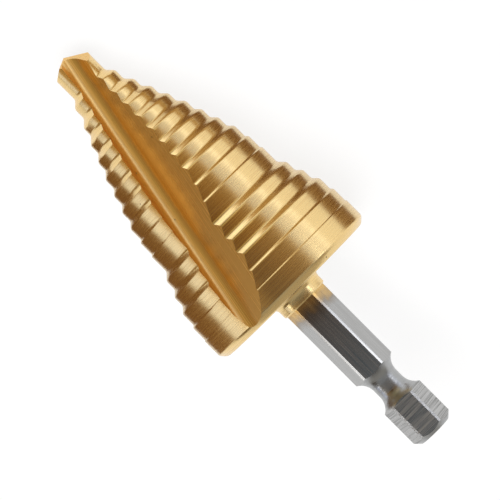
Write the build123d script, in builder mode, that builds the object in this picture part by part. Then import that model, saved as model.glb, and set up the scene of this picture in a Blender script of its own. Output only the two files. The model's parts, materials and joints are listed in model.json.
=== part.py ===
"""Step drill: one bar of high-speed steel with a stepped, fluted head and a hexagonal shank.

The tool is modelled upright in its own frame, with the point at the origin and the axis along +Z
towards the shank, and is then laid on the floor as it rests, with one flute turned down.
All sizes are in millimetres and all angles in degrees.
"""

import os
from math import asin, atan2, cos, degrees, pi, radians, sin, sqrt, tan

from build123d import *

# Stepped head: one diameter for each hole size, and each step's length from shoulder to shoulder
step_diameters = [6.2, 8.2, 10.3, 12.4, 14.4, 16.4, 18.0, 19.7]
step_diameters += [21.3, 22.1, 22.6, 24.6, 26.3, 28.0, 28.7, 29.0]
pilot_length = 6.5
second_step_length = 2.85
step_pitch = 2.52
long_step = 11  # counted from the point
long_step_length = 4.0
last_step_length = 3.0
shoulder_angle = 45.0  # of each conical shoulder, from the axis
back_chamfer = 0.92

# Drill point: two ground facets behind each lip
point_angle = 118.0
lip_facet_turn = 52.0  # its fall direction, behind the flute's lean direction
heel_facet_slope = 43.0
heel_facet_turn = 99.5

# Straight V flutes, which lean away from the axis and run out at the rim of the head
flute_count = 2
flute_lean = 17.3
flute_start = 2.2  # behind the point, where the corner line of the V passes the axis
flute_offset = 0.42  # from the corner line to the axis
rake_wall_angle = -18.9  # from the lean direction
flute_opening = 67.0
flute_radius = 1.6

# Relief ground on each shoulder: flat along the cutting lip, and falling away behind it
relief_angle = 3.5
relief_span = 28.0  # around the axis, until the relief has run out

# Collar behind the head
collar_diameter = 7.8
collar_length = 2.1
collar_fillet = 1.1
collar_chamfer = 0.2

# Quarter-inch hexagonal shank with a ball groove
hex_across_flats = 6.35
hex_corner_chamfer = 0.22
hex_turn = 27.0  # of a flat, from the lean direction
shank_length = 26.7  # from the collar to the end
groove_to_end = 9.7  # from its middle
groove_diameter = 4.5
groove_floor_length = 1.25
groove_radius = 2.65
end_diameter = 5.4
end_chamfer_length = 0.95

# Steps whose lips touch the floor when the tool lies down, counted from the point
resting_steps = [9, 14]

# How far a cutter runs past what it shapes, along the axis and around it
cutter_overrun = 2.0
relief_overrun = 5.0

shoulder_slope = 1 / tan(radians(shoulder_angle))
lean = radians(flute_lean)
step_lengths = [pilot_length, second_step_length]
step_lengths += [step_pitch] * (long_step - 3)
step_lengths += [long_step_length]
step_lengths += [step_pitch] * (len(step_diameters) - long_step - 1)
step_lengths += [last_step_length]
corners = [sum(step_lengths[:count]) for count in range(len(step_lengths) + 1)]
head_radius = step_diameters[-1] / 2
head_length = corners[-1] + back_chamfer
collar_end = head_length + collar_length
overall_length = collar_end + shank_length
hex_sides = 6
hex_circumradius = hex_across_flats / 2 / cos(pi / hex_sides)


def across(angle):
    """Unit vector across the axis, at an angle from the lean direction of the first flute."""
    return Vector(cos(radians(angle)), sin(radians(angle)), 0)


def wall_angle(wall, height, radius):
    """Angle around the axis at which a wall of the first flute meets a land."""
    corner_x = (height - flute_start) * tan(lean)
    wall_distance = corner_x * sin(radians(wall)) - flute_offset * cos(radians(wall))
    return wall - degrees(asin(wall_distance / radius))


def wall_point(wall, height, radius):
    """Point where a wall of the first flute meets a land."""
    return across(wall_angle(wall, height, radius)) * radius + Vector(0, 0, height)


def section_angle(wall):
    """Angle of a flute wall in a section square to the flute's line."""
    return degrees(atan2(sin(radians(wall)), cos(radians(wall)) * cos(lean)))


def lip_rise(radius):
    """Height by which the relief lifts a shoulder at its cutting lip."""
    return radius * sin(radians(relief_span)) * tan(radians(relief_angle))


def lip_point(height, radius):
    """Outer corner of a cutting lip."""
    return wall_point(rake_wall_angle, height - lip_rise(radius), radius)


# Turned blank: stepped head, back chamfer and collar
with BuildPart() as blank:
    with BuildSketch(Plane.XZ):
        with BuildLine():
            outline = [(0, 0), (step_diameters[0] / 2, 0)]
            for index in range(1, len(step_diameters)):
                inner = step_diameters[index - 1] / 2
                outer = step_diameters[index] / 2
                outline.append((inner, corners[index] - (outer - inner) * shoulder_slope))
                outline.append((outer, corners[index]))
            outline.append((head_radius, corners[-1]))
            outline.append((head_radius - back_chamfer, head_length))
            outline.append((collar_diameter / 2, head_length))
            outline.append((collar_diameter / 2, collar_end))
            outline.append((0, collar_end))
            Polyline(outline, close=True)
        make_face()
    revolve(axis=Axis.Z)
    collar_root = blank.edges().filter_by_position(Axis.Z, head_length, head_length)
    fillet(collar_root.sort_by(SortBy.RADIUS)[0], collar_fillet)
    chamfer(blank.edges().sort_by(Axis.Z)[-1], collar_chamfer)

# Relieved shoulders: behind each lip the shoulder stands proud and falls away in a plane facet.
# Each relief is a sector of a ring, cut off along its facet.
reliefs = []
for index in range(1, len(step_diameters)):
    radius = step_diameters[index] / 2
    rise = lip_rise(radius)
    lip = wall_angle(rake_wall_angle, corners[index], radius)
    facet = Plane(
        origin=(0, 0, corners[index] - rise),
        x_dir=across(lip),
        z_dir=across(lip + 90) * tan(radians(relief_angle)) - Vector(0, 0, 1),
    )
    start = lip - relief_overrun
    sector_end = Plane(
        origin=(0, 0, corners[index]),
        x_dir=across(start),
        z_dir=across(start - 90),
    )
    with BuildPart() as relief:
        with BuildSketch(sector_end):
            with Locations((radius / 2, 0)):
                Rectangle(radius, 3 * rise)
        revolve(axis=Axis.Z, revolution_arc=relief_span + 2 * relief_overrun)
        split(bisect_by=facet, keep=Keep.BOTTOM)
    reliefs.append(relief.part)

# Cutter for one flute: a V with a round bottom, drawn square to the leaning line and run along it
square_to_flute = Plane(
    origin=(-(flute_start + cutter_overrun) * tan(lean), flute_offset, -cutter_overrun),
    x_dir=(cos(lean), 0, -sin(lean)),
    z_dir=(sin(lean), 0, cos(lean)),
)
with BuildPart() as flute_cutter:
    with BuildSketch(square_to_flute) as flute_section:
        with BuildLine():
            rake_end = across(section_angle(rake_wall_angle)) * head_radius
            heel_end = across(section_angle(rake_wall_angle - flute_opening)) * head_radius
            Polyline((0, 0), rake_end, heel_end, close=True)
        make_face()
        fillet(flute_section.vertices().sort_by_distance((0, 0))[0], flute_radius)
    extrude(amount=(head_length + 2 * cutter_overrun) / cos(lean) + head_radius * tan(lean))

# Hexagonal shank from the middle of the collar, with the ball groove and end chamfer turned into it
with BuildPart() as shank:
    with BuildSketch(Plane.XY.offset(collar_end - collar_length / 2)) as hexagon:
        RegularPolygon(hex_circumradius, hex_sides, rotation=hex_turn + 180 / hex_sides)
        chamfer(hexagon.vertices(), hex_corner_chamfer)
    extrude(amount=shank_length + collar_length / 2)
    groove_middle = overall_length - groove_to_end
    groove_depth = hex_circumradius - groove_diameter / 2
    flank_length = sqrt(groove_radius**2 - (groove_radius - groove_depth) ** 2)
    with BuildSketch(Plane.XZ):
        with BuildLine():
            floor_start = (groove_diameter / 2, groove_middle - groove_floor_length / 2)
            floor_end = (groove_diameter / 2, groove_middle + groove_floor_length / 2)
            mouth_start = (hex_circumradius, floor_start[1] - flank_length)
            mouth_end = (hex_circumradius, floor_end[1] + flank_length)
            Line(floor_start, floor_end)
            TangentArc(floor_end, mouth_end, tangent=(0, 1))
            Line(mouth_end, mouth_start)
            TangentArc(floor_start, mouth_start, tangent=(0, -1))
        make_face()
    revolve(axis=Axis.Z, mode=Mode.SUBTRACT)
    with BuildSketch(Plane.XZ):
        with BuildLine():
            Polyline(
                (end_diameter / 2, overall_length),
                (hex_circumradius, overall_length - end_chamfer_length),
                (hex_circumradius, overall_length),
                close=True,
            )
        make_face()
    revolve(axis=Axis.Z, mode=Mode.SUBTRACT)

# The whole tool, upright with its point down at the origin: reliefs and flutes first, then the
# facets of the point, whose planes all pass through the origin, and last the shank
with BuildPart() as tool:
    add(blank.part)
    with PolarLocations(0, flute_count):
        add(reliefs)
        add(flute_cutter.part, mode=Mode.SUBTRACT)
    lip_facet_slope = 90 - point_angle / 2
    point_facets = [(lip_facet_turn, lip_facet_slope), (heel_facet_turn, heel_facet_slope)]
    for turn, slope in point_facets:
        for side in range(flute_count):
            fall = across(turn + side * 360 / flute_count) * tan(radians(slope))
            facet = Plane(origin=(0, 0, 0), z_dir=fall - Vector(0, 0, 1))
            split(bisect_by=facet, keep=Keep.BOTTOM)
    add(shank.part)

# Laid down: it rests on two lips and a heel of the flute that is turned to the floor
front_step, rear_step = resting_steps
rear_corner = corners[rear_step - 1]
rear_radius = step_diameters[rear_step - 1] / 2
rear_lip = lip_point(rear_corner, rear_radius)
rear_heel = wall_point(rake_wall_angle - flute_opening, rear_corner, rear_radius)
front_lip = lip_point(corners[front_step - 1], step_diameters[front_step - 1] / 2)
up = (front_lip - rear_lip).cross(rear_heel - rear_lip)
floor_plane = Plane(origin=rear_lip, x_dir=up.cross(Vector(0, 0, 1)).cross(up), z_dir=up)
lying = floor_plane.to_local_coords(tool.part)
lying_box = lying.bounding_box()
with BuildPart() as step_drill:
    with Locations((-lying_box.center().X, -lying_box.center().Y, -lying_box.min.Z)):
        add(lying)

step_drill.part.label = "step_drill"
os.makedirs("parts", exist_ok=True)
export_step(step_drill.part, "parts/step_drill.step")
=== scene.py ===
"""Step drill: the looks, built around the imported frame.

The tool is drawn in its own frame, with the point at the origin, the axis along +Z and every size
in millimetres, and is then laid down where the shank's mounts say. The studio is set around the
same axis: a turn is in degrees from the camera, and is positive to the camera's right.
"""

import json
from math import asin, atan, atan2, cos, degrees, pi, radians, sin, sqrt, tan

import bmesh
import bpy
from mathutils import Matrix, Vector


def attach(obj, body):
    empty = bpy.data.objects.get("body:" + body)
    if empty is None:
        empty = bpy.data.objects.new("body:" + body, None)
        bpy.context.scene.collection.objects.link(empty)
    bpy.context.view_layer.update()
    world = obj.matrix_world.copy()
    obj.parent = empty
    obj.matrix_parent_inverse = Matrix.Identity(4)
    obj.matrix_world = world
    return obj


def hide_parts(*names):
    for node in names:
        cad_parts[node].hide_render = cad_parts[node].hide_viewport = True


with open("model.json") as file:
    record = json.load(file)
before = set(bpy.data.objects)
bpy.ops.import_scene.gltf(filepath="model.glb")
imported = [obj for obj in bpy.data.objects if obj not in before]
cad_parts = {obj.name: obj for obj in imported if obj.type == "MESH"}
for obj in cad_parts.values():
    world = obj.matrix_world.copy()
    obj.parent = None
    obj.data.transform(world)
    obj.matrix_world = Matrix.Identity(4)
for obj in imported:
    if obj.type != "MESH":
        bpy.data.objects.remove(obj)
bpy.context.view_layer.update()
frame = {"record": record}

# ------------------------------------------------------------------------------------------------
# The tool's place. The end face of the shank says where the axis runs, and its upper flat says how
# far the tool is turned about it.
# ------------------------------------------------------------------------------------------------
mm = 0.001
overall_length = 76.31
hex_turn = 27.0  # degrees, from the first flute's lean direction to a flat
upper_flat_turn = hex_turn + 120

mounts = {mount["name"]: mount for mount in frame["record"]["mounts"]}
axis = Vector(mounts["shank_end"]["axis"]).normalized()
upper_flat = Vector(mounts["shank_flat"]["axis"]).normalized()
tip = Vector(mounts["shank_end"]["pos_m"]) - axis * overall_length * mm
lean_direction = Matrix.Rotation(-radians(upper_flat_turn), 3, axis) @ upper_flat


def axes_at(place, x_axis, y_axis, z_axis):
    """Matrix that puts a frame with these axes at a place."""
    return Matrix.Translation(place) @ Matrix((x_axis, y_axis, z_axis)).transposed().to_4x4()


tool_frame = axes_at(tip, lean_direction, axis.cross(lean_direction), axis)

# ------------------------------------------------------------------------------------------------
# Camera. It looks square onto the axis and into the upper flute, and shows the point at the upper
# left and the shank at the lower right.
# ------------------------------------------------------------------------------------------------
view_turn = 142.1  # degrees, from the first flute's lean direction
axis_slope = 45.05  # degrees, of the axis below the view's horizontal
camera_distance = 435.0
field_width = 72.5  # at the aim point
aim_height = 38.8  # along the axis
aim_side = -0.51
nearest_seen = 10
farthest_seen = 10000

to_camera = tool_frame.to_3x3() @ Vector((cos(radians(view_turn)), sin(radians(view_turn)), 0))
to_right = axis.cross(to_camera) * -1
aim = tip + (axis * aim_height + to_right * aim_side) * mm
camera_place = aim + to_camera * camera_distance * mm
view_right = cos(radians(axis_slope)) * axis + sin(radians(axis_slope)) * to_right
view_up = to_camera.cross(view_right)

camera_data = bpy.data.cameras.new("camera")
camera_data.angle = 2 * atan(field_width / 2 / camera_distance)
camera_data.clip_start = nearest_seen * mm
camera_data.clip_end = farthest_seen * mm
camera = bpy.data.objects.new("camera", camera_data)
camera.matrix_world = axes_at(camera_place, view_right, view_up, to_camera)
bpy.context.scene.collection.objects.link(camera)
bpy.context.scene.camera = camera
bpy.context.scene.view_settings.view_transform = "Standard"

# ------------------------------------------------------------------------------------------------
# Head: high-speed steel, turned from bar as a staircase of lands and 45 degree shoulders with a
# collar behind it. Each shoulder is relieved behind its two cutting lips, and the whole head is
# coated with titanium nitride after it is ground.
# ------------------------------------------------------------------------------------------------
step_diameters = [6.2, 8.2, 10.3, 12.4, 14.4, 16.4, 18.0, 19.7]
step_diameters += [21.3, 22.1, 22.6, 24.6, 26.3, 28.0, 28.7, 29.0]
step_lengths = [6.5, 2.85] + [2.52] * 8 + [4.0] + [2.52] * 4 + [3.0]
shoulders = [sum(step_lengths[:count]) for count in range(len(step_lengths) + 1)]
back_chamfer = 0.92
collar_diameter = 7.8
collar_length = 2.1
collar_fillet = 1.1
collar_chamfer = 0.2
front_stock = 1.0  # bar left ahead of the point, for its facets to cut

# polished edges and roots, as far as there is room for them
edge_radius = 0.8
root_radius = 0.8
arc_room = 0.45  # share of a side that one arc may take
arc_parts = 5
turn_parts = 256

# line and rake wall of the first flute, which carry the lips. The second is a half turn on.
flute_lean = 17.3
flute_start = 2.2
flute_offset = 0.42
rake_wall_angle = -18.9

relief_angle = 3.5
relief_span = 28.0  # around the axis, until the relief has run out
relief_fade = 10.0  # the last part of the span, where the facet gets too narrow to see
relief_lead = 5.0  # ahead of the lip, where the flute takes it away
narrowest_shoulder = 0.05

lean = radians(flute_lean)
head_length = shoulders[-1] + back_chamfer
head_radius = step_diameters[-1] / 2
collar_end = head_length + collar_length


def rounded(corners):
    """Outline through (radius, height, rounding) corners, with each rounding drawn as an arc."""
    outline = []
    for index, (x, y, rounding) in enumerate(corners):
        here = Vector((x, y))
        if not rounding:
            outline.append(here)
            continue
        back = Vector(corners[index - 1][:2]) - here
        ahead = Vector(corners[index + 1][:2]) - here
        half = back.angle(ahead) / 2
        reach = min(rounding / tan(half), arc_room * back.length, arc_room * ahead.length)
        centre = here + (back.normalized() + ahead.normalized()).normalized() * reach / cos(half)
        first_spoke = here + back.normalized() * reach - centre
        last_spoke = here + ahead.normalized() * reach - centre
        swing = first_spoke.angle_signed(last_spoke)
        for part in range(arc_parts + 1):
            outline.append(centre + Matrix.Rotation(-swing * part / arc_parts, 2) @ first_spoke)
    return outline


def land_angle(wall, height, radius):
    """Angle around the axis where a wall of the first flute meets a land."""
    corner_x = (height - flute_start) * tan(lean)
    wall_distance = corner_x * sin(radians(wall)) - flute_offset * cos(radians(wall))
    return wall - degrees(asin(wall_distance / radius))


def head_outline(turn):
    """Outline of the head at an angle around the axis, from the point to the end of the collar."""
    corners = [(step_diameters[0] / 2, -front_stock, 0)]
    for index in range(1, len(step_diameters)):
        inner = step_diameters[index - 1] / 2
        outer = step_diameters[index] / 2
        corner = shoulders[index]
        lip = land_angle(rake_wall_angle, corner, outer)
        behind_lip = (turn - lip + relief_lead) % 180 - relief_lead
        root = corner - (outer - inner)
        foot = (inner + outer) / 2
        foot_height = corner - (outer - foot)
        edge = corner
        if behind_lip < relief_span:
            rise = outer * sin(radians(relief_span)) * tan(radians(relief_angle))
            fall = sin(radians(behind_lip)) * tan(radians(relief_angle))
            edge = corner - rise + outer * fall
            meeting = (outer - rise) / (1 - fall)
            if meeting > inner + narrowest_shoulder:
                faded = max(0, (behind_lip - relief_span + relief_fade) / relief_fade)
                foot = meeting + (foot - meeting) * faded
                foot_height = corner - (outer - foot)
            else:
                root = corner - rise + inner * fall
                foot_height = corner - rise + foot * fall
        corners.append((inner, root, root_radius))
        corners.append((foot, foot_height, 0))
        corners.append((outer, edge, edge_radius))
    collar_radius = collar_diameter / 2
    corners.append((head_radius, shoulders[-1], edge_radius))
    corners.append((head_radius - back_chamfer, head_length, edge_radius))
    corners.append((collar_radius, head_length, collar_fillet))
    corners.append((collar_radius, collar_end - collar_chamfer, 0))
    corners.append((collar_radius - collar_chamfer, collar_end, 0))
    return rounded(corners)


def lathe(outline_at, parts):
    """Closed mesh whose outline may change around the axis."""
    mesh = bmesh.new()
    rings = []
    for part in range(parts):
        turn = 360 * part / parts
        across_x = cos(radians(turn))
        across_y = sin(radians(turn))
        rings.append([mesh.verts.new((r * across_x, r * across_y, z)) for r, z in outline_at(turn)])
    for part in range(parts):
        here = rings[part]
        beside = rings[(part + 1) % parts]
        for low in range(len(here) - 1):
            mesh.faces.new((here[low], beside[low], beside[low + 1], here[low + 1]))
    mesh.faces.new([ring[0] for ring in reversed(rings)])
    mesh.faces.new([ring[-1] for ring in rings])
    return mesh


def solid(name, mesh, materials):
    """Object from a mesh."""
    data = bpy.data.meshes.new(name)
    bmesh.ops.recalc_face_normals(mesh, faces=mesh.faces)
    mesh.to_mesh(data)
    mesh.free()
    for material in materials:
        data.materials.append(material)
    piece = bpy.data.objects.new(name, data)
    bpy.context.scene.collection.objects.link(piece)
    return piece


def combine(piece, other, operation):
    """Joins, cuts or trims a piece with another, which is used up."""
    modifier = piece.modifiers.new(operation, "BOOLEAN")
    modifier.operation = operation
    modifier.solver = "EXACT"
    modifier.material_mode = "TRANSFER"
    modifier.object = other
    bpy.context.view_layer.update()
    evaluated = piece.evaluated_get(bpy.context.evaluated_depsgraph_get())
    result = bpy.data.meshes.new_from_object(evaluated)
    piece.modifiers.clear()
    piece.data = result
    bpy.data.objects.remove(other)


def linear(hex_value):
    """Linear colour of an sRGB hex value."""
    channels = [int(hex_value[start : start + 2], 16) / 255 for start in (1, 3, 5)]
    return [c / 12.92 if c <= 0.04045 else ((c + 0.055) / 1.055) ** 2.4 for c in channels] + [1]


# sockets that can't be told apart by name: a Math node's, and a Mix node's for each kind of data
first, second, third = 0, 1, 2
mix_share, number_a, number_b, color_a, color_b = 0, 2, 3, 6, 7


def add_node(tree, kind, settings, links):
    """Adds a node. Settings in lower case are the node's own, and the others are its sockets."""
    node = tree.nodes.new("ShaderNode" + kind)
    for name, value in settings.items():
        if str(name).islower():
            setattr(node, name, value)
        else:
            node.inputs[name].default_value = value
    for name, source in links.items():
        tree.links.new(source, node.inputs[name])
    return node


def new_material(name):
    """Empty material, with its tree and output."""
    material = bpy.data.materials.new(name)
    material.use_nodes = True
    material.node_tree.nodes.clear()
    return material, material.node_tree, material.node_tree.nodes.new("ShaderNodeOutputMaterial")


def tool_place(tree):
    """Place in the tool's own frame, in metres, for patterns that follow its axis."""
    upright = tool_frame.inverted()
    place = add_node(tree, "TexCoord", {}, {})
    settings = {"Location": upright.to_translation(), "Rotation": upright.to_euler()}
    return add_node(tree, "Mapping", settings, {"Vector": place.outputs["Object"]}).outputs[0]


def grain_pattern(tree, place, cell, turn=(0, 0, 0), fineness=0.5):
    """Grains of noise as long, wide and high as a cell in millimetres, which may lie at a turn."""
    settings = {"vector_type": "TEXTURE", "Rotation": turn, "Scale": [size * mm for size in cell]}
    drawn = add_node(tree, "Mapping", settings, {"Vector": place})
    look = {"Scale": 1, "Detail": 2, "Roughness": fineness}
    return add_node(tree, "TexNoise", look, {"Vector": drawn.outputs[0]}).outputs[0]


mark_fineness = 0.6  # of machining marks, which carry a little more fine detail than draw lines


def turned_marks(tree, ring_pitch, ring_length):
    """Rings around the axis, as a turning tool leaves them. They run on across the end faces."""
    face_share = 0.6  # of the pitch, by which the rings are spaced on a face square to the axis
    xyz = add_node(tree, "SeparateXYZ", {}, {"Vector": tool_place(tree)})
    flat = add_node(tree, "CombineXYZ", {}, {"X": xyz.outputs["X"], "Y": xyz.outputs["Y"]})
    radius = add_node(tree, "VectorMath", {"operation": "LENGTH"}, {first: flat.outputs[0]})
    feed = add_node(
        tree,
        "Math",
        {"operation": "MULTIPLY_ADD", second: face_share},
        {first: radius.outputs["Value"], third: xyz.outputs["Z"]},
    )
    rings = add_node(
        tree,
        "CombineXYZ",
        {},
        {"X": xyz.outputs["X"], "Y": xyz.outputs["Y"], "Z": feed.outputs[0]},
    )
    cell = (ring_length, ring_length, ring_pitch)
    return grain_pattern(tree, rings.outputs[0], cell, fineness=mark_fineness)


def ground_marks(tree, scratch_pitch, scratch_length):
    """Scratches along the flutes, as a grinding wheel leaves them. Both flutes lean outwards."""
    xyz = add_node(tree, "SeparateXYZ", {}, {"Vector": tool_place(tree)})
    outwards = add_node(tree, "Math", {"operation": "ABSOLUTE"}, {first: xyz.outputs["X"]})
    folded = add_node(
        tree,
        "CombineXYZ",
        {},
        {"X": outwards.outputs[0], "Y": xyz.outputs["Y"], "Z": xyz.outputs["Z"]},
    )
    cell = (scratch_pitch, scratch_pitch, scratch_length)
    return grain_pattern(tree, folded.outputs[0], cell, turn=(0, lean, 0), fineness=mark_fineness)


def nitride(name, marks_on, crest_share, crest_roughness, valley_roughness, mark_depth):
    """Titanium nitride, a thin hard gold coating that follows the machining marks below it.

    The crests of the marks are rubbed pale and glossy, and the valleys stay deep gold and soft, so
    the gold is pale where it mirrors a light and deep where it doesn't. Small dark specks are bare
    spots and dirt.
    """
    valley_gold = "#E7AE50"
    crest_gold = "#F3DDA4"
    speck_brown = "#5A452E"
    speck_spacing = 3.0
    speck_core = 0.075
    speck_radius = 0.15
    mark_range = {"From Min": 0.35, "From Max": 0.65}
    gloss_change = 0.1
    cover_change = 0.04

    material, tree, output = new_material(name)
    marks = marks_on(tree)
    relief = add_node(
        tree, "Bump", {"Strength": 1, "Distance": mark_depth * mm}, {"Height": marks}
    )
    spread = add_node(
        tree,
        "Mapping",
        {"vector_type": "TEXTURE", "Scale": [speck_spacing * mm] * 3},
        {"Vector": tool_place(tree)},
    )
    specks = add_node(tree, "TexVoronoi", {"Scale": 1}, {"Vector": spread.outputs[0]})
    clean = add_node(
        tree,
        "MapRange",
        {"From Min": speck_core / speck_spacing, "From Max": speck_radius / speck_spacing},
        {"Value": specks.outputs["Distance"]},
    )
    lobes = []
    for gold, roughness in ((valley_gold, valley_roughness), (crest_gold, crest_roughness)):
        color = add_node(
            tree,
            "Mix",
            {"data_type": "RGBA", color_a: linear(speck_brown), color_b: linear(gold)},
            {mix_share: clean.outputs[0]},
        )
        smooth = {"To Min": roughness * (1 - gloss_change), "To Max": roughness * (1 + gloss_change)}
        gloss = add_node(tree, "MapRange", {**mark_range, **smooth}, {"Value": marks})
        lobe = add_node(
            tree,
            "BsdfPrincipled",
            {"Metallic": 1},
            {
                "Base Color": color.outputs[2],
                "Roughness": gloss.outputs[0],
                "Normal": relief.outputs[0],
            },
        )
        lobes.append(lobe.outputs[0])
    cover = {
        "To Min": crest_share * (1 + cover_change),
        "To Max": crest_share * (1 - cover_change),
    }
    crests = add_node(tree, "MapRange", {**mark_range, **cover}, {"Value": marks})
    both = add_node(
        tree, "MixShader", {}, {0: crests.outputs[0], 1: lobes[0], 2: lobes[1]}
    )
    tree.links.new(both.outputs[0], output.inputs[0])
    return material


# Turned lands: fine rings give a silky sheen that is stretched along the axis. The feed is about
# 0.1 mm a turn, and the rings are drawn 0.22 mm apart to show.
turned_nitride = nitride(
    "nitride_on_turned_steel",
    lambda tree: turned_marks(tree, ring_pitch=0.22, ring_length=9),
    crest_share=0.66,
    crest_roughness=0.22,
    valley_roughness=0.45,
    mark_depth=0.0006,
)
head = lathe(head_outline, turn_parts)

# ------------------------------------------------------------------------------------------------
# Point: two flat facets ground behind each lip with a coarse wheel, which meet in a short chisel
# edge across the axis. It is coated with the head.
# ------------------------------------------------------------------------------------------------
point_angle = 118.0
lip_facet_turn = 52.0
heel_facet_slope = 43.0
heel_facet_turn = 99.5
same_place = 1e-6
point_slot = 1

point_facets = [(lip_facet_turn, 90 - point_angle / 2), (heel_facet_turn, heel_facet_slope)]
for turn, slope_angle in point_facets:
    for side in (0, 180):
        down = Vector((cos(radians(turn + side)), sin(radians(turn + side)), 0))
        cut = bmesh.ops.bisect_plane(
            head,
            geom=head.verts[:] + head.edges[:] + head.faces[:],
            dist=same_place,
            plane_co=(0, 0, 0),
            plane_no=down * tan(radians(slope_angle)) - Vector((0, 0, 1)),
            clear_outer=True,
        )
        rim = [item for item in cut["geom_cut"] if isinstance(item, bmesh.types.BMEdge)]
        bmesh.ops.edgeloop_fill(head, edges=rim, mat_nr=point_slot)

# Ground facets: short scratches make them duller and more even than the lands. Grit scratches are
# some hundredths of a millimetre wide and are drawn 0.25 mm wide to show.
point_nitride = nitride(
    "nitride_on_ground_point",
    lambda tree: ground_marks(tree, scratch_pitch=0.25, scratch_length=2),
    crest_share=0.4,
    crest_roughness=0.3,
    valley_roughness=0.5,
    mark_depth=0.0015,
)
drill = solid("coated_drill", head, [turned_nitride, point_nitride])

# ------------------------------------------------------------------------------------------------
# Flutes: two straight V grooves with round bottoms, a half turn apart. A shaped wheel ground them
# into the turned head along lines that lean outwards, and they are coated with it.
# ------------------------------------------------------------------------------------------------
flute_opening = 67.0
flute_radius = 1.6
flute_arc_parts = 16
cutter_overrun = 2.0
cutter_reach = 1.3 * head_radius


def section_direction(wall):
    """Direction of a flute wall in a section square to the flute's line."""
    turn = atan2(sin(radians(wall)), cos(radians(wall)) * cos(lean))
    return Vector((cos(turn), sin(turn)))


rake = section_direction(rake_wall_angle)
heel = section_direction(rake_wall_angle - flute_opening)
half_opening = rake.angle(heel) / 2
arc_start = flute_radius / tan(half_opening)
arc_centre = (rake + heel).normalized() * flute_radius / sin(half_opening)
first_spoke = rake * arc_start - arc_centre
swing = first_spoke.angle_signed(heel * arc_start - arc_centre)
section = []
for part in range(flute_arc_parts + 1):
    section.append(arc_centre + Matrix.Rotation(-swing * part / flute_arc_parts, 2) @ first_spoke)
section += [heel * cutter_reach, rake * cutter_reach]
flute_length = (head_length + 2 * cutter_overrun) / cos(lean) + head_radius * tan(lean)
flute_frame = axes_at(
    Vector((-(flute_start + cutter_overrun) * tan(lean), flute_offset, -cutter_overrun)),
    Vector((cos(lean), 0, -sin(lean))),
    Vector((0, 1, 0)),
    Vector((sin(lean), 0, cos(lean))),
)

# Ground flutes: long straight scratches, and a smoother and deeper gold than the lands.
ground_nitride = nitride(
    "nitride_on_ground_flutes",
    lambda tree: ground_marks(tree, scratch_pitch=0.25, scratch_length=16),
    crest_share=0.35,
    crest_roughness=0.26,
    valley_roughness=0.4,
    mark_depth=0.0003,
)
for half_turns in range(2):
    cutter = bmesh.new()
    near = [cutter.verts.new((x, y, 0)) for x, y in section]
    far = [cutter.verts.new((x, y, flute_length)) for x, y in section]
    for index in range(len(section)):
        after = (index + 1) % len(section)
        cutter.faces.new((near[index], near[after], far[after], far[index]))
    cutter.faces.new(near)
    cutter.faces.new(far)
    cutter.transform(Matrix.Rotation(pi * half_turns, 4, "Z") @ flute_frame)
    combine(drill, solid("flute_cutter", cutter, [ground_nitride]), "DIFFERENCE")

# ------------------------------------------------------------------------------------------------
# Shank: quarter-inch hexagonal bar, of one piece with the head and drawn to size. The ball groove
# and the end chamfer are turned into it, and the coating ends in a ragged front on its flats.
# ------------------------------------------------------------------------------------------------
hex_across_flats = 6.35
hex_corner_chamfer = 0.22
groove_to_end = 9.7
groove_diameter = 4.5
groove_floor_length = 1.25
groove_radius = 2.65
end_diameter = 5.4
end_chamfer_length = 0.95
groove_parts = 12
turning_parts = 128
bar_overrun = 1.0
turning_clearance = 0.5

# along the axis
coating_end = 49.7
coating_gone = 53.1
fade_length = 2.0
front_depth = 5.0  # of the ragged front where the coating ends
front_spot = 3.0
end_part_start = 68.9
end_part_fade = 0.6

# Drawn steel: lengthwise draw lines give each flat a streaked satin gloss. The end part is finished
# across the flats instead and is duller. The coating turns from gold to straw grey as it runs out.
# The lines are a few hundredths of a millimetre wide, and are drawn 0.25 and 0.17 mm wide to show.
drawn_steel, tree, output = new_material("drawn_high_speed_steel")
place = tool_place(tree)
along = add_node(tree, "SeparateXYZ", {}, {"Vector": place}).outputs["Z"]
draw_lines = grain_pattern(tree, place, (0.25, 0.25, 9))
cross_lines = grain_pattern(tree, place, (7, 7, 0.17))
draw_range = {"From Min": 0.3, "From Max": 0.7}
cross_range = {"From Min": 0.36, "From Max": 0.64}
on_end_part = add_node(
    tree,
    "MapRange",
    {"From Min": end_part_start * mm, "From Max": (end_part_start + end_part_fade) * mm},
    {"Value": along},
).outputs[0]
marks = add_node(
    tree, "Mix", {}, {mix_share: on_end_part, number_a: draw_lines, number_b: cross_lines}
).outputs[0]

clouds = grain_pattern(tree, place, (front_spot, front_spot, front_spot))
front = add_node(
    tree,
    "Math",
    {"operation": "MULTIPLY_ADD", second: front_depth * mm, third: -front_depth / 2 * mm},
    {first: clouds},
)
height = add_node(tree, "Math", {"operation": "ADD"}, {first: along, second: front.outputs[0]})
thin = add_node(
    tree,
    "MapRange",
    {"From Min": coating_end * mm, "From Max": (coating_end + fade_length) * mm},
    {"Value": height.outputs[0]},
)
bare = add_node(
    tree,
    "MapRange",
    {"From Min": (coating_gone - fade_length) * mm, "From Max": coating_gone * mm},
    {"Value": height.outputs[0]},
)

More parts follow.
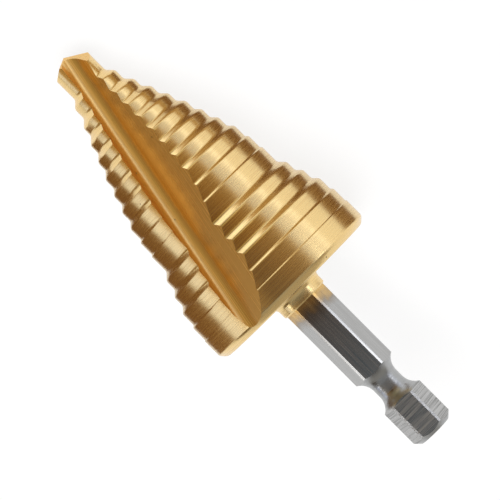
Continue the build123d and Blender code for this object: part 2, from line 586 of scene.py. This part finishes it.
draw_shade = add_node(
    tree,
    "Mix",
    {"data_type": "RGBA", color_a: linear("#9C9C9B"), color_b: linear("#BABAB9")},
    {mix_share: draw_lines},
)
cross_bright = add_node(tree, "MapRange", cross_range, {"Value": cross_lines})
end_shade = add_node(
    tree,
    "Mix",
    {"data_type": "RGBA", color_a: linear("#8E8E8D"), color_b: linear("#C0C0BF")},
    {mix_share: cross_bright.outputs[0]},
)
steel_shade = add_node(
    tree,
    "Mix",
    {"data_type": "RGBA"},
    {mix_share: on_end_part, color_a: draw_shade.outputs[2], color_b: end_shade.outputs[2]},
)
coating_shade = add_node(
    tree,
    "Mix",
    {"data_type": "RGBA", color_a: linear("#DDB775"), color_b: linear("#94897C")},
    {mix_share: thin.outputs[0]},
)
color = add_node(
    tree,
    "Mix",
    {"data_type": "RGBA"},
    {
        mix_share: bare.outputs[0],
        color_a: coating_shade.outputs[2],
        color_b: steel_shade.outputs[2],
    },
)

draw_gloss = add_node(
    tree, "MapRange", {**draw_range, "To Min": 0.14, "To Max": 0.28}, {"Value": marks}
)
cross_gloss = add_node(
    tree, "MapRange", {**cross_range, "To Min": 0.2, "To Max": 0.45}, {"Value": cross_lines}
)
gloss = add_node(
    tree,
    "Mix",
    {},
    {mix_share: on_end_part, number_a: draw_gloss.outputs[0], number_b: cross_gloss.outputs[0]},
)
line_depth = add_node(
    tree, "MapRange", {"To Min": 0.0012 * mm, "To Max": 0.002 * mm}, {"Value": on_end_part}
)
relief = add_node(
    tree, "Bump", {"Strength": 1}, {"Height": marks, "Distance": line_depth.outputs[0]}
)
steel = add_node(
    tree,
    "BsdfPrincipled",
    {"Metallic": 1},
    {
        "Base Color": color.outputs[2],
        "Roughness": gloss.outputs[0],
        "Normal": relief.outputs[0],
    },
)
tree.links.new(steel.outputs[0], output.inputs[0])

# Turned steel in the groove, on the end chamfer and on the end face: broken rings make it duller
# than the flats. The feed is about 0.1 mm a turn, and the rings are drawn 0.25 mm apart to show.
turned_steel, tree, output = new_material("turned_high_speed_steel")
marks = turned_marks(tree, ring_pitch=0.25, ring_length=4)
relief = add_node(tree, "Bump", {"Strength": 1, "Distance": 0.004 * mm}, {"Height": marks})
gloss = add_node(
    tree, "MapRange", {**draw_range, "To Min": 0.26, "To Max": 0.42}, {"Value": marks}
)
steel = add_node(
    tree,
    "BsdfPrincipled",
    {"Base Color": linear("#A9AAAA"), "Metallic": 1},
    {"Roughness": gloss.outputs[0], "Normal": relief.outputs[0]},
)
tree.links.new(steel.outputs[0], output.inputs[0])

# hexagonal bar, from the middle of the collar and past the end, with its corners chamfered
corner_radius = hex_across_flats / 2 / cos(radians(30))
hexagon = []
for index in range(6):
    turn = hex_turn + 30 + 60 * index
    corner = Vector((cos(radians(turn)), sin(radians(turn)))) * corner_radius
    for side in (-120, 120):
        along_flat = Vector((cos(radians(turn + side)), sin(radians(turn + side))))
        hexagon.append(corner + along_flat * hex_corner_chamfer)
bar = bmesh.new()
near = [bar.verts.new((x, y, collar_end - collar_length / 2)) for x, y in hexagon]
far = [bar.verts.new((x, y, overall_length + bar_overrun)) for x, y in hexagon]
for index in range(len(hexagon)):
    after = (index + 1) % len(hexagon)
    bar.faces.new((near[index], near[after], far[after], far[index]))
bar.faces.new(near)
bar.faces.new(far)
shank = solid("shank", bar, [drawn_steel])

# what the lathe leaves of it: the groove's two round flanks, the end chamfer and the end face
groove_middle = overall_length - groove_to_end
groove_floor = groove_diameter / 2
end_radius = end_diameter / 2
clear_radius = corner_radius + turning_clearance
flank_rise = groove_radius - (clear_radius - groove_floor)
flank_angle = degrees(atan2(sqrt(groove_radius**2 - flank_rise**2), flank_rise))
turned_outline = [Vector((clear_radius, collar_end - collar_length))]
for side in (-1, 1):
    for part in range(groove_parts + 1):
        share = part / groove_parts if side > 0 else 1 - part / groove_parts
        swing = radians(flank_angle * share)
        radius = groove_floor + groove_radius * (1 - cos(swing))
        offset = groove_floor_length / 2 + groove_radius * sin(swing)
        turned_outline.append(Vector((radius, groove_middle + side * offset)))
chamfer_slope = (corner_radius - end_radius) / end_chamfer_length
chamfer_start = overall_length - (clear_radius - end_radius) / chamfer_slope
turned_outline.append(Vector((clear_radius, chamfer_start)))
turned_outline.append(Vector((end_radius, overall_length)))
turning = lathe(lambda turn: turned_outline, turning_parts)
combine(shank, solid("shank_turning", turning, [turned_steel]), "INTERSECT")
combine(drill, shank, "UNION")

# the finished tool, laid down in its place
sharp_edge = 24  # degrees
drill.data.transform(tool_frame @ Matrix.Scale(mm, 4))
drill.data.set_sharp_from_angle(angle=radians(sharp_edge))
for polygon in drill.data.polygons:
    polygon.use_smooth = True
normals = drill.modifiers.new("face_weighted_normals", "WEIGHTED_NORMAL")
normals.keep_sharp = True
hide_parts("step_drill")
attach(drill, "root")

# ------------------------------------------------------------------------------------------------
# Studio lights: a long softbox on each side, a narrow strip on each side that the shank's corner
# bevels mirror, and a round lamp overhead that lights the floor and that no metal mirrors.
# ------------------------------------------------------------------------------------------------
cool_white = "#E0E9FF"
pure_white = "#FFFFFF"
overhead_size = 0.6  # metres
overhead_height = 0.8
overhead_watts = 8.0


def turned_out(turn):
    """Direction square to the tool's axis, at a turn from the camera."""
    return cos(radians(turn)) * to_camera + sin(radians(turn)) * to_right


def strip_light(name, turn, spread, distance, start, end, strength, color):
    """Long soft light beside the tool, which fills a spread of angles around its axis."""
    data = bpy.data.lights.new(name, "AREA")
    data.shape = "RECTANGLE"
    data.size = 2 * distance * tan(radians(spread / 2)) * mm
    data.size_y = (end - start) * mm
    data.energy = strength * data.size * data.size_y * pi
    data.color = linear(color)[:3]
    lamp = bpy.data.objects.new(name, data)
    out = turned_out(turn)
    middle = tip + axis * (start + end) / 2 * mm
    lamp.matrix_world = axes_at(middle + out * distance * mm, axis.cross(out), axis, out)
    bpy.context.scene.collection.objects.link(lamp)


strip_light(
    "right_softbox",
    turn=52.5, spread=30, distance=350, start=-150, end=220, strength=0.789, color=cool_white,
)
strip_light(
    "left_softbox",
    turn=-85, spread=22, distance=350, start=-60, end=120, strength=1.276, color=cool_white,
)
strip_light(
    "right_bevel_strip",
    turn=50, spread=9, distance=340, start=64, end=130, strength=2.6, color=pure_white,
)
strip_light(
    "left_bevel_strip",
    turn=-70, spread=9, distance=340, start=64, end=130, strength=2.6, color=pure_white,
)

overhead = bpy.data.lights.new("overhead", "AREA")
overhead.shape = "DISK"
overhead.size = overhead_size
overhead.energy = overhead_watts
overhead_lamp = bpy.data.objects.new("overhead", overhead)
overhead_lamp.location = (0, 0, overhead_height)
overhead_lamp.visible_glossy = False
bpy.context.scene.collection.objects.link(overhead_lamp)

# ------------------------------------------------------------------------------------------------
# Floor: a wide sheet of plain white paper. The camera, mirrors and glass see it mostly at an even
# white, which keeps a faint shadow, and everything else sees it as matt paper.
# ------------------------------------------------------------------------------------------------
floor_size = 3.0  # metres, from its middle to an edge
even_white_share = 0.85

floor_mesh = bmesh.new()
bmesh.ops.create_grid(floor_mesh, x_segments=1, y_segments=1, size=floor_size)
paper, tree, output = new_material("white_paper")
sight = add_node(tree, "LightPath", {}, {})
seen = add_node(
    tree,
    "Math",
    {"operation": "ADD"},
    {first: sight.outputs["Is Camera Ray"], second: sight.outputs["Is Glossy Ray"]},
)
seen = add_node(
    tree,
    "Math",
    {"operation": "ADD", "use_clamp": True},
    {first: seen.outputs[0], second: sight.outputs["Is Transmission Ray"]},
)
share = add_node(
    tree, "Math", {"operation": "MULTIPLY", second: even_white_share}, {first: seen.outputs[0]}
)
matt = add_node(tree, "BsdfDiffuse", {"Color": linear("#F3F3F3")}, {})
even_white = add_node(tree, "Emission", {"Strength": 1}, {})
both = add_node(
    tree, "MixShader", {}, {0: share.outputs[0], 1: matt.outputs[0], 2: even_white.outputs[0]}
)
tree.links.new(both.outputs[0], output.inputs[0])
solid("floor", floor_mesh, [paper])

# ------------------------------------------------------------------------------------------------
# Reflection cards: glowing cards stood round the tool and laid beside it, which only the metal
# mirrors. Warm cards give the gold its deep browns, and grey ones keep the steel neutral. The brown
# and tan cards on the floor beside the head are painted shadow: they stand for the tool's own
# shadow on the floor, as the metal mirrors it. The white card ahead of the point glows brighter
# than white and paints the bright highlights on the shoulders.
# ------------------------------------------------------------------------------------------------
surround_distance = 345.0
card_lift = 1.0  # above the floor


def only_mirrored(card):
    """Leaves a card to the metal's reflections, so it neither shows nor shades the floor."""
    card.visible_camera = False
    card.visible_diffuse = False
    card.visible_shadow = False
    card.visible_transmission = False


tinted_card, tree, output = new_material("tinted_card")
tint = add_node(tree, "Attribute", {"attribute_name": "tint"}, {})
glow = add_node(tree, "Emission", {}, {"Color": tint.outputs["Color"]})
tree.links.new(glow.outputs[0], output.inputs[0])


def surround(name, start, end, tints):
    """Curved card around the camera's side, whose tint goes from (turn, colour) to the next."""
    mesh = bmesh.new()
    tint = mesh.loops.layers.float_color.new("tint")
    posts = []
    for turn, hex_value in tints:
        out = turned_out(turn) * surround_distance
        posts.append([mesh.verts.new(tip + (axis * along + out) * mm) for along in (start, end)])
    for index in range(len(tints) - 1):
        here = posts[index]
        beside = posts[index + 1]
        face = mesh.faces.new((here[0], beside[0], beside[1], here[1]))
        for loop, side in zip(face.loops, (0, 1, 1, 0)):
            loop[tint] = linear(tints[index + side][1])
    data = bpy.data.meshes.new(name)
    mesh.to_mesh(data)
    mesh.free()
    data.materials.append(tinted_card)
    card = bpy.data.objects.new(name, data)
    bpy.context.scene.collection.objects.link(card)
    only_mirrored(card)


surround("tip_surround", -330, -75, [
    (-110, "#8F7858"),
    (-60, "#9C8664"),
    (-8, "#B0A37A"),
    (14, "#DCCAA2"),
    (38, "#E6D8B4"),
])
surround("warm_surround", -75, 60, [
    (-75, "#C0A068"),
    (-55, "#A98A58"),
    (-37, "#9B7C50"),
    (-20, "#5F3E1C"),
    (0, "#76532C"),
    (15, "#8B6535"),
    (30, "#8C693A"),
    (38, "#C0A070"),
])
surround("grey_surround", 60, 90, [(-60, "#677075"), (34, "#677075")])
surround("end_surround", 90, 260, [(-60, "#A8AAAC"), (34, "#A8AAAC")])


def flat_card(name, hex_value, strength, corners):
    """Flat card of one tint. Its corners are (along the axis, to the right, to the camera)."""
    material, tree, output = new_material(name)
    glow = add_node(tree, "Emission", {"Color": linear(hex_value), "Strength": strength}, {})
    tree.links.new(glow.outputs[0], output.inputs[0])
    mesh = bmesh.new()
    mesh.faces.new([
        mesh.verts.new(tip + (axis * along + to_right * right + to_camera * near) * mm)
        for along, right, near in corners
    ])
    only_mirrored(solid(name, mesh, [material]))


def above_floor(along, right):
    """Corner of a card that lies just above the floor."""
    height = (tip + (axis * along + to_right * right) * mm).z - card_lift * mm
    return along, right, -height / to_camera.z / mm


flat_card("end_card", "#B0ACA4", 1, [
    (260, -220, -60),
    (260, 220, -60),
    (260, 220, 260),
    (260, -220, 260),
])
# painted shadow: a dark glowing sheet on the floor right of the head, where the tool's shadow falls,
# seen only in the gold
flat_card("right_painted_shadow_card", "#76583A", 1, [
    above_floor(4, 8),
    above_floor(50, 26),
    above_floor(50, 50),
    above_floor(4, 13),
])
# painted half shadow: a tan glowing sheet on the floor beside the head and point, where the tool
# half shades the floor, seen only in the gold
flat_card("right_painted_half_shadow_card", "#AC8E60", 1, [
    above_floor(-90, 21),
    above_floor(4, 13),
    above_floor(30, 36),
    above_floor(-90, 42),
])
# painted shadow: a dark glowing sheet on the floor left of the head, where the tool's shadow falls,
# seen only in the gold
flat_card("left_painted_shadow_card", "#76583A", 1, [
    above_floor(8, -11),
    (8, -21, 1),
    (50, -48, 3),
    above_floor(50, -28),
])
# painted highlight: a card glowing at 1.8 times white ahead of the point, which the shoulders mirror
# as bright cream highlights
flat_card("tip_glowing_highlight_card", "#FFFFFF", 1.8, [
    above_floor(-140, -25),
    above_floor(-140, 22),
    above_floor(-28, 18),
    above_floor(-20, 6),
    above_floor(-20, -12),
])

# ------------------------------------------------------------------------------------------------
# Room: pale near the horizon, where it runs on from the floor, and dim above, so that the softboxes
# stand out in the metal.
# ------------------------------------------------------------------------------------------------
pale_below = 0.05  # height of a direction, from 0 at the horizon to 1 overhead
dim_above = 0.265

world = bpy.data.worlds.new("studio")
bpy.context.scene.world = world
world.use_nodes = True
tree = world.node_tree
direction = add_node(tree, "TexCoord", {}, {})
xyz = add_node(tree, "SeparateXYZ", {}, {"Vector": direction.outputs["Generated"]})
height = add_node(
    tree,
    "MapRange",
    {"interpolation_type": "SMOOTHSTEP", "From Min": pale_below, "From Max": dim_above},
    {"Value": xyz.outputs["Z"]},
)
room = add_node(
    tree,
    "Mix",
    {"data_type": "RGBA", color_a: linear("#FFFFFF"), color_b: linear("#655C50")},
    {mix_share: height.outputs[0]},
)
tree.links.new(room.outputs[2], tree.nodes["Background"].inputs["Color"])
